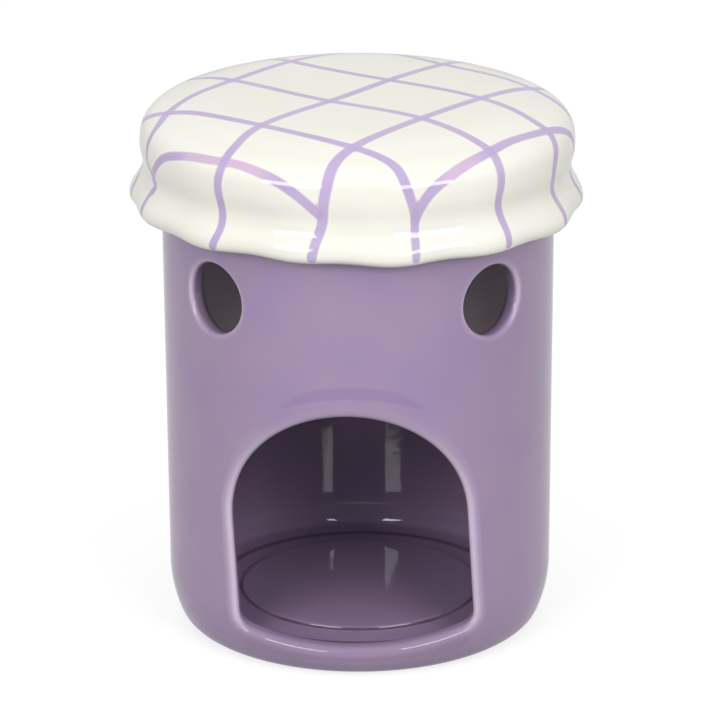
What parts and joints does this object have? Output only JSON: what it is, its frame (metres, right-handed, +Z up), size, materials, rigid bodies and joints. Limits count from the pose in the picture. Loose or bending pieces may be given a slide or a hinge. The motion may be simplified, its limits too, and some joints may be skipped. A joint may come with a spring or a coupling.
{
  "type": "wax warmer",
  "caption": "Jar-shaped glazed wax warmer: tealight chamber with an arched front opening and vents, a wax dish on top, and a loose lid like a cloth gathered over a jar.",
  "frame": {"origin": "centre of the foot, on the surface that the jar stands on", "axes": "+Z up along the jar's axis, the arched opening faces -Y, +X to the right seen from the front"},
  "size_m": [0.1117, 0.1106, 0.1356],
  "materials": {
    "purple_glaze": "glossy glaze over slip-cast stoneware",
    "cream_glaze": "glossy cream glaze with hand-painted lilac lines"
  },
  "bodies": {
    "root": {"jar_body": "purple_glaze", "cloth_lid": "cream_glaze"}
  },
  "joints": []
}
